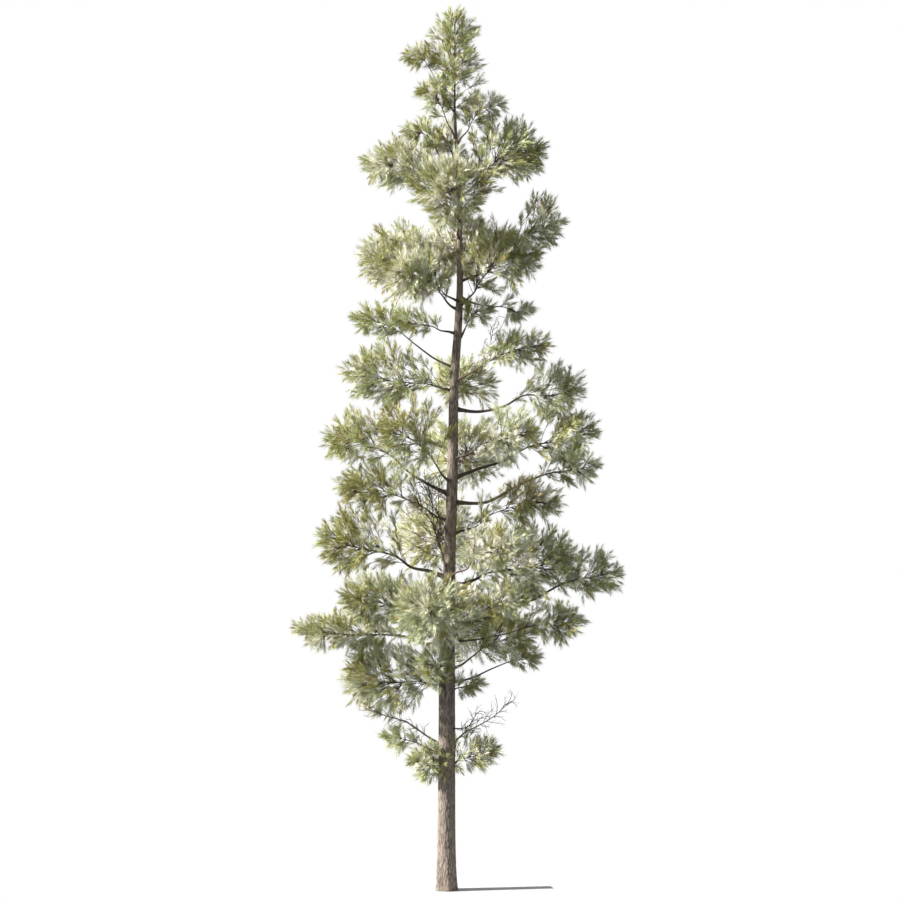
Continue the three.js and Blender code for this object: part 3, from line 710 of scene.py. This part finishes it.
def needle_arrays(branchlets, rng):
    """The needles of many branchlets: slim kites that lean forward all round each of them,
    and more and more so towards its tip"""
    places, headings, lengths, tints = (np.concatenate(column) for column in zip(*branchlets))
    count = len(places)
    side, top = square_to(headings)
    along = np.linspace(FIRST_NEEDLE, 1, NEEDLES_PER_BRANCHLET)
    first_turn = rng.uniform(0, 2 * np.pi, (count, 1))
    turn = np.radians(GOLDEN_TURN * np.arange(NEEDLES_PER_BRANCHLET)) + first_turn
    low, high = NEEDLE_ANGLES
    spread = rng.uniform(*NEEDLE_LEAN_SPREAD, (count, NEEDLES_PER_BRANCHLET))
    lean = np.radians(low + (high - low) * along) * spread
    spoke = side[:, None] * np.cos(turn)[..., None] + top[:, None] * np.sin(turn)[..., None]
    pointing = headings[:, None] * np.cos(lean)[..., None] + spoke * np.sin(lean)[..., None]
    level = unit(np.cross(pointing, spoke))
    roll = np.radians(rng.uniform(-NEEDLE_ROLL, NEEDLE_ROLL, (count, NEEDLES_PER_BRANCHLET, 1)))
    flat = level * np.cos(roll) + np.cross(pointing, level) * np.sin(roll)
    long = rng.uniform(*NEEDLE_LENGTHS, (count, NEEDLES_PER_BRANCHLET))[..., None]
    root = places[:, None] + headings[:, None] * (lengths[:, None] * along)[..., None]
    widest = root + pointing * long * NEEDLE_WIDEST
    tip = root + pointing * long - UP * long * NEEDLE_DROOP
    half = flat * NEEDLE_WIDTH / 2
    corners = np.stack([root, widest + half, tip, widest - half], axis=2).reshape(-1, 3)
    first = np.arange(count * NEEDLES_PER_BRANCHLET)[:, None, None] * NEEDLE_CORNERS
    faces = (np.array([[0, 1, 2], [0, 2, 3]])[None] + first).reshape(-1, 3)
    return corners, faces, np.repeat(tints, NEEDLES_PER_BRANCHLET * NEEDLE_TRIANGLES)


def add_object(name, data):
    """An object in the scene, unturned and at the origin"""
    thing = bpy.data.objects.new(name, data)
    bpy.context.scene.collection.objects.link(thing)
    return thing


def mesh_from(name, corners, faces, tints=None):
    """A mesh object from arrays of corners and triangles, and of each triangle's tint if the
    object has more than one"""
    mesh = bpy.data.meshes.new(name)
    mesh.vertices.add(len(corners))
    mesh.vertices.foreach_set("co", corners.astype(np.float32).ravel())
    mesh.loops.add(faces.size)
    mesh.loops.foreach_set("vertex_index", faces.astype(np.int32).ravel())
    mesh.polygons.add(len(faces))
    mesh.polygons.foreach_set("loop_start", np.arange(0, faces.size, 3, dtype=np.int32))
    if tints is not None:
        mesh.polygons.foreach_set("material_index", tints.astype(np.int32))
    mesh.update(calc_edges=True)
    return add_object(name, mesh)


def joined_arrays(parts):
    """Several pairs of corners and triangles as one pair"""
    corners, faces, first = [], [], 0
    for part_corners, part_faces in parts:
        corners.append(part_corners)
        faces.append(part_faces + first)
        first += len(part_corners)
    return np.concatenate(corners), np.concatenate(faces)


def bark_tube(columns, rows, places_of):
    """A closed tube of bark as a bmesh: a grid rolled up, where places_of gives the place and
    the relief of a point by its shares around and along the tube"""
    bm = bmesh.new()
    relief_layer = bm.verts.layers.float.new("relief")
    bmesh.ops.create_grid(bm, x_segments=columns, y_segments=rows, size=0.5)
    shares = np.array([vert.co[:2] for vert in bm.verts]) + 0.5
    places, reliefs = places_of(shares[:, 0], shares[:, 1])
    for vert, place, relief in zip(bm.verts, places, reliefs):
        vert.co = place
        vert[relief_layer] = relief
    bmesh.ops.remove_doubles(bm, verts=bm.verts, dist=MERGE_DISTANCE)
    bmesh.ops.holes_fill(bm, edges=[edge for edge in bm.edges if edge.is_boundary])
    bmesh.ops.recalc_face_normals(bm, faces=bm.faces)
    return bm


def piece_from(name, parts):
    """One smooth-shaded object from several bmeshes"""
    whole = bmesh.new()
    for part in parts:
        mesh = bpy.data.meshes.new(name)
        part.to_mesh(mesh)
        part.free()
        whole.from_mesh(mesh)
        bpy.data.meshes.remove(mesh)
    mesh = bpy.data.meshes.new(name)
    whole.to_mesh(mesh)
    whole.free()
    mesh.shade_smooth()
    return add_object(name, mesh)


def plate_height(x, y, z):
    """The bark's height at a place: 0 in a furrow between plates and 1 on a plate"""
    place = Vector((x, y, z / PLATE_STRETCH)) / PLATE_WIDTH
    place += noise.noise_vector(place * PLATE_WANDER_SCALE) * PLATE_WANDER
    distances, _ = noise.voronoi(place)
    crack = min((distances[1] - distances[0]) / FURROW_WIDTH, 1)
    grain = noise.noise(place * GRAIN_SCALE)
    return max(min(crack * (2 - crack) + grain * GRAIN_HEIGHT, 1), 0)


def make_trunk():
    """The trunk, closed by its flat foot and by its tip inside the leading shoot"""
    noise.seed_set(BARK_SEED)

    def places_of(around, along):
        places, reliefs = [], []
        for u, v in zip(around, along):
            height = TRUNK_TIP * v
            angle = 2 * math.pi * u
            spoke = np.array([math.cos(angle), math.sin(angle), 0])
            radius = trunk_radius(height, angle)
            middle = trunk_middle(height)
            relief = plate_height(*(middle + radius * spoke))
            sunk = radius - smooth_value(FURROW_DEPTHS, height) * (0.5 - relief)
            places.append(middle + sunk * spoke)
            reliefs.append(relief)
        return places, reliefs

    return piece_from("trunk_bark", [bark_tube(TRUNK_COLUMNS, TRUNK_ROWS, places_of)])


def limb_bark(path, start, radius_at, seed):
    """A limb's bark from a share of its path on, closed at its foot and drawn out to its tip"""
    rows = max(LIMB_FEWEST_ROWS, round(path.length * (1 - start) / LIMB_ROW_LENGTH))

    def places_of(around, along):
        share = start + (1 - start) * along
        middles = path.place(share)
        side, top = square_to(path.heading(share))
        turn = 2 * np.pi * around
        spokes = side * np.cos(turn)[:, None] + top * np.sin(turn)[:, None]
        runs = share * path.length
        reliefs = []
        for spoke, run in zip(spokes, runs):
            shift = Vector((seed * LIMB_SEED_STEP, *(run * step for step in LIMB_LUMPS_ALONG)))
            place = Vector(spoke) * LIMB_LUMPS_AROUND + shift
            reliefs.append(0.5 + sum(height * noise.noise(place * scale) for height, scale in LIMB_LUMPS))
        reliefs = np.clip(reliefs, 0, 1)
        slimmest, thickest = LIMB_GIRTHS
        radii = radius_at(runs) * (slimmest + (thickest - slimmest) * reliefs)
        return middles + spokes * radii[:, None], reliefs

    return bark_tube(LIMB_COLUMNS, rows, places_of)


def surface_share(path, row):
    """Where on a limb's path it leaves the trunk, a little under the trunk's bark"""
    distances = np.hypot(*(path.places - trunk_middle(row["at"]))[:, :2].T)
    outside = distances > smooth_value(TRUNK_RADII, row["at"]) * LIMB_FOOT_DEPTH
    return path.shares[np.argmax(outside)]


def collar_and_tip(runs, foot, length):
    """How much thicker a limb is at its collar on the trunk, down to nothing at its tip"""
    collar = 1 + COLLAR_SWELL * np.exp(-(runs - foot) / COLLAR_LENGTH)
    return collar * np.clip((length - runs) / LIMB_TIP_LENGTH, 0, 1)


def make_boughs(limbs, leader_path):
    """All boughs and stems with their collars on the trunk, and the leading shoot's stem"""
    parts = []
    for index, limb in enumerate(limbs):
        path, row = limb["path"], limb["row"]
        start = surface_share(path, row)
        widest = smooth_value(TRUNK_RADII, row["at"]) * STEM_SHARE_OF_TRUNK
        root_radius = min((row["girth"] or STEM_GIRTH_ON_TRUNK) / 2, widest)
        bends = [start * path.length, limb["enters"] * path.length, path.length]
        radii = [root_radius, root_radius * BOUGH_TIP_SHARE, STEM_TIP_RADIUS]

        def radius_at(runs, bends=bends, radii=radii):
            return np.interp(runs, bends, radii) * collar_and_tip(runs, bends[0], bends[-1])

        parts.append(limb_bark(path, start, radius_at, index))

    def leader_radius(runs):
        foot = trunk_radius(TRUNK_TIP, 0)
        return np.maximum(foot + (STEM_TIP_RADIUS - foot) * runs / leader_path.length, STEM_TIP_RADIUS / 2)

    parts.append(limb_bark(leader_path, 0, leader_radius, len(limbs)))
    return piece_from("bough_bark", parts)


def dead_limb_path(row, draw):
    """The path of a dead limb, which rises less and less"""
    outward, across = level_directions(row["azimuth"])
    root = trunk_middle(row["at"])
    kink = row["reach"] * BOUGH_KINK
    bends = []
    for share in DEAD_LIMB_BENDS:
        upward = row["rise"] * share**DEAD_LIMB_RISE_POWER + between(draw, -kink, kink)
        sideways = between(draw, -kink, kink)
        bends.append(root + outward * row["reach"] * share + UP * upward + across * sideways)
    return Path([root, *bends])


def make_dead_limb(name, row, index):
    """A dead limb and its bare twigs"""
    path = dead_limb_path(row, seeded_draw(DEAD_LIMB_SEEDS + index))
    start = surface_share(path, row)

    def radius_at(runs):
        radii = row["girth"] / 2 * (1 - DEAD_LIMB_TAPER * runs / path.length)
        return radii * collar_and_tip(runs, start * path.length, path.length)

    limb = piece_from(name, [limb_bark(path, start, radius_at, DEAD_LIMB_BARK_SEEDS + index)])
    return limb, mesh_from(f"{name}_twigs", *joined_arrays(bare_twigs(path, DEAD_LIMB_SEEDS + index)))


def bare_twigs(path, seed):
    """The tubes of the forked bare twigs along a path"""
    rng = np.random.default_rng(seed)
    twigs, forks = [], []
    count = round(path.length / DEAD_TWIG_SPACING)
    for i in range(count):
        share = DEAD_TWIG_FIRST + (1 - DEAD_TWIG_FIRST) * i / (count - 1)
        ahead = path.heading(share)
        length = rng.uniform(*DEAD_TWIG_LENGTHS)
        heading = unit(ahead + rolled_side(ahead, i * GOLDEN_TURN) * rng.uniform(*DEAD_TWIG_ASIDE))
        foot = path.place(share)
        bend = foot + heading * length / 2 + rng.normal(0, DEAD_TWIG_KINK, 3)
        tip = foot + unit(heading + rng.normal(0, DEAD_TWIG_WANDER, 3)) * length
        twig = Path([foot, bend, tip])
        twigs.append(twig.points(THICK_TWIG_POINTS))
        for fork_share in DEAD_TWIG_FORKS:
            ahead = twig.heading(fork_share)
            side = rolled_side(ahead, rng.uniform(0, 360))
            foot = twig.place(fork_share)
            leaving = unit(ahead + side * DEAD_FORK_ASIDE)
            tip = foot + leaving * length * rng.uniform(*DEAD_FORK_LENGTHS)
            bend = (foot + tip) / 2 + rng.normal(0, DEAD_FORK_KINK, 3)
            forks.append(Path([foot, bend, tip]).points(THIN_TWIG_POINTS))
    return [tube_arrays(twigs, *DEAD_TWIG_RADII, THICK_TWIG_SIDES), tube_arrays(forks, *DEAD_FORK_RADII)]


def make_bare_limbs():
    """The small bare limbs with their twigs"""
    tubes = []
    for index, (girth, points) in enumerate(BARE_LIMBS):
        path = Path(points)
        radius = girth / 2
        limb = [path.points(BARE_LIMB_POINTS)]
        tubes.append(tube_arrays(limb, radius, radius * BARE_LIMB_TIP_SHARE, BARE_LIMB_SIDES))
        tubes += bare_twigs(path, BARE_LIMB_SEEDS + index)
    return mesh_from("bare_limbs", *joined_arrays(tubes))


def linear(red, green, blue):
    """A colour of 0 to 255 on a screen as the light that it stands for"""
    shares = [value / 255 for value in (red, green, blue)]
    light = [s / 12.92 if s <= 0.04045 else ((s + 0.055) / 1.055) ** 2.4 for s in shares]
    return (*light, 1.0)


def set_values(node, values):
    """Sets sockets of a node by their names"""
    for name, value in values.items():
        node.inputs[name].default_value = value


def make_material(name, gloss):
    """A material with its node tree and its shader"""
    material = bpy.data.materials.new(name)
    material.use_nodes = True
    nodes = material.node_tree.nodes
    shader = nodes["Principled BSDF"]
    set_values(shader, gloss)
    return material, nodes, material.node_tree.links, shader


def bark_material(name, tones, grain, stretch):
    """Bark: dark in its furrows and pale on its plates, with a fine upright grain and broad
    weathered patches"""
    material, nodes, links, shader = make_material(name, BARK_GLOSS)
    furrow, plate, ridge, weathered = (linear(*tone) for tone in tones)
    coordinates = nodes.new("ShaderNodeTexCoord")
    mapping = nodes.new("ShaderNodeMapping")
    set_values(mapping, {"Scale": (1, 1, stretch)})
    links.new(coordinates.outputs["Object"], mapping.inputs["Vector"])

    fine = nodes.new("ShaderNodeTexNoise")
    set_values(fine, {"Scale": grain, **FINE_GRAIN})
    links.new(mapping.outputs["Vector"], fine.inputs["Vector"])

    relief = nodes.new("ShaderNodeAttribute")
    relief.attribute_name = "relief"
    height = nodes.new("ShaderNodeMix")
    height.data_type = "FLOAT"
    set_values(height, {"Factor": GRAIN_SHARE})
    links.new(relief.outputs["Fac"], height.inputs["A"])
    links.new(fine.outputs["Fac"], height.inputs["B"])

    ramp = nodes.new("ShaderNodeValToRGB")
    lowest, highest = ramp.color_ramp.elements
    lowest.position, lowest.color = FURROW_TONE_AT, furrow
    highest.position, highest.color = RIDGE_TONE_AT, ridge
    ramp.color_ramp.elements.new(PLATE_TONE_AT).color = plate
    links.new(height.outputs["Result"], ramp.inputs["Fac"])

    broad = nodes.new("ShaderNodeTexNoise")
    set_values(broad, BROAD_PATCHES)
    links.new(coordinates.outputs["Object"], broad.inputs["Vector"])
    patches = nodes.new("ShaderNodeMapRange")
    set_values(patches, PATCH_RANGE)
    links.new(broad.outputs["Fac"], patches.inputs["Value"])
    colour = nodes.new("ShaderNodeMix")
    colour.data_type = "RGBA"
    set_values(colour, {"B": weathered})
    links.new(patches.outputs["Result"], colour.inputs["Factor"])
    links.new(ramp.outputs["Color"], colour.inputs["A"])
    links.new(colour.outputs["Result"], shader.inputs["Base Color"])

    bump = nodes.new("ShaderNodeBump")
    set_values(bump, BARK_BUMP)
    links.new(fine.outputs["Fac"], bump.inputs["Height"])
    links.new(bump.outputs["Normal"], shader.inputs["Normal"])
    return material


def plain_material(name, colour, gloss):
    """One plain colour with its gloss, as on needles and on the floor"""
    material, _, _, shader = make_material(name, gloss)
    set_values(shader, {"Base Color": colour})
    return material


def place_piece(piece, finishes, nodes=()):
    """Gives a piece its finishes and its body, and hides the nodes that it stands for"""
    for finish in finishes:
        piece.data.materials.append(finish)
    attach(piece, BODY)
    if nodes:
        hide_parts(*nodes)


# The masses: each one's limb, and the twigs and branchlets that grow on it
growths = {}
limbs = []


def grow(name, space, path, enters, seed):
    """Grows the sprays of a mass along its stem"""
    rng = np.random.default_rng(seed)
    growth = Growth(rng)
    outer = sprigs_of(space, path, enters, seeded_draw(SPRIG_SEEDS + seed))
    finer = fill_sprigs(space, path, enters, seeded_draw(FILL_SEEDS + seed))
    for sprig in outer + finer:
        growth.add_spray(sprig, rng)
    growths[f"foliage_{name}"] = growth


leader_foot = trunk_middle(TRUNK_TIP)
leader_space = {
    "middle": np.array([leader_foot[0], leader_foot[1], LEADER["height"]]),
    "axes": np.array([UP, [0, 1.0, 0], [-1.0, 0, 0]]),
    "halves": np.array(LEADER["size"]) / 2,
}
leader_top = place_in(leader_space, STEM_END_SHARE, 0)
leader_path = Path([leader_foot, (leader_foot + leader_top) / 2, leader_top])
grow("leader", leader_space, leader_path, 0, LEADER_SEED)

for index, (name, row) in enumerate(MASSES.items()):
    seed = FIRST_MASS_SEED + index
    space = space_of(row)
    path, enters = bough_path(row, space, seeded_draw(seed))
    limbs.append({"path": path, "enters": enters, "row": row})
    grow(name, space, path, enters, seed)

# Trunk, boughs, dead limbs and bare limbs with their barks
barks = {name: bark_material(name, **values) for name, values in BARKS.items()}
bough_nodes = [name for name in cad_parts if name.startswith("bough_")]
place_piece(make_trunk(), [barks["trunk_bark"]], ["trunk"])
place_piece(make_boughs(limbs, leader_path), [barks["bough_bark"]], bough_nodes)
for index, (name, row) in enumerate(DEAD_LIMBS.items()):
    limb, twig_piece = make_dead_limb(name, row, index)
    place_piece(limb, [barks["dead_wood"]], [name])
    place_piece(twig_piece, [barks["dead_wood"]])
place_piece(make_bare_limbs(), [barks["dead_wood"]])

# Needles and twigs of the masses, in pieces that run from the top of the tree down
needle_finishes = [
    plain_material(name, linear(*tint), NEEDLE_GLOSS) for name, (tint, _) in NEEDLE_TINTS.items()
]
groups = [[]]
triangles = 0
for node, growth in growths.items():
    added = sum(len(places) for places, *_ in growth.branchlets) * NEEDLES_PER_BRANCHLET * NEEDLE_TRIANGLES
    if triangles + added > PIECE_TRIANGLES:
        groups.append([])
        triangles = 0
    groups[-1].append(node)
    triangles += added


def gathered(nodes, kind):
    """One kind of growth of several masses in one list"""
    return [row for node in nodes for row in getattr(growths[node], kind)]


for index, nodes in enumerate(groups):
    branchlets = gathered(nodes, "branchlets")
    needles = needle_arrays(branchlets, np.random.default_rng(index))
    place_piece(mesh_from(f"needles_{index + 1}", *needles), needle_finishes, nodes)
    places, headings, lengths, _ = (np.concatenate(column) for column in zip(*branchlets))
    tubes = [
        tube_arrays(gathered(nodes, "stalks"), *STALK_RADII, THICK_TWIG_SIDES),
        tube_arrays(gathered(nodes, "fine_stalks"), *FINE_STALK_RADII),
        tube_arrays(gathered(nodes, "twigs"), *TWIG_RADII),
        spike_arrays(places, headings, lengths, BRANCHLET_RADIUS),
    ]
    twig_piece = mesh_from(f"twigs_{index + 1}", *joined_arrays(tubes))
    place_piece(twig_piece, [barks["twig_bark"]], nodes)

# Floor
floor_mesh = bpy.data.meshes.new("floor")
floor_bm = bmesh.new()
bmesh.ops.create_circle(floor_bm, cap_ends=True, segments=FLOOR_SIDES, radius=FLOOR_RADIUS)
bmesh.ops.translate(floor_bm, verts=floor_bm.verts, vec=(0, 0, -FLOOR_BELOW_GROUND))
floor_bm.to_mesh(floor_mesh)
floor_bm.free()
floor_mesh.materials.append(plain_material("floor", FLOOR_COLOUR, {"Roughness": 1}))
floor = add_object("floor", floor_mesh)

# Sun
sun_light = bpy.data.lights.new("sun", "SUN")
sun_light.energy = SUN_ENERGY
sun_light.angle = math.radians(SUN_WIDTH)
sun_light.color = SUN_COLOUR
sun = add_object("sun", sun_light)
sun_level, _ = level_directions(SUN_AZIMUTH)
elevation = math.radians(SUN_ELEVATION)
towards_sun = Vector(sun_level * math.cos(elevation) + UP * math.sin(elevation))
sun.rotation_mode = "QUATERNION"
sun.rotation_quaternion = towards_sun.to_track_quat("Z", "Y")

# Sky: it lights the tree softly, and shows as a white backdrop
world = bpy.data.worlds.new("studio")
world.use_nodes = True
bpy.context.scene.world = world
world_nodes, world_links = world.node_tree.nodes, world.node_tree.links
sky = world_nodes["Background"]
set_values(sky, {"Color": SKY_COLOUR, "Strength": SKY_STRENGTH})
backdrop = world_nodes.new("ShaderNodeBackground")
set_values(backdrop, {"Color": BACKDROP_COLOUR, "Strength": 1})
ray = world_nodes.new("ShaderNodeLightPath")
shown = world_nodes.new("ShaderNodeMixShader")
world_links.new(ray.outputs["Is Camera Ray"], shown.inputs["Fac"])
world_links.new(sky.outputs["Background"], shown.inputs[1])
world_links.new(backdrop.outputs["Background"], shown.inputs[2])
world_links.new(shown.outputs["Shader"], world_nodes["World Output"].inputs["Surface"])
bpy.context.scene.view_settings.view_transform = "Standard"

# Camera, level with the middle of its picture
camera_data = bpy.data.cameras.new("camera")
camera_data.sensor_width = SENSOR_WIDTH
camera_data.lens = SENSOR_WIDTH * CAMERA_DISTANCE / (PICTURE_SIDE * METRES_PER_PIXEL)
camera_data.clip_end = CAMERA_REACH
camera = add_object("camera", camera_data)
middle_x = (PICTURE_SIDE / 2 - FOOT_COLUMN) * METRES_PER_PIXEL
middle_z = (FOOT_ROW - PICTURE_SIDE / 2) * METRES_PER_PIXEL
camera.location = (middle_x, -CAMERA_DISTANCE, middle_z)
camera.rotation_euler = (math.pi / 2, 0, 0)
bpy.context.scene.camera = camera
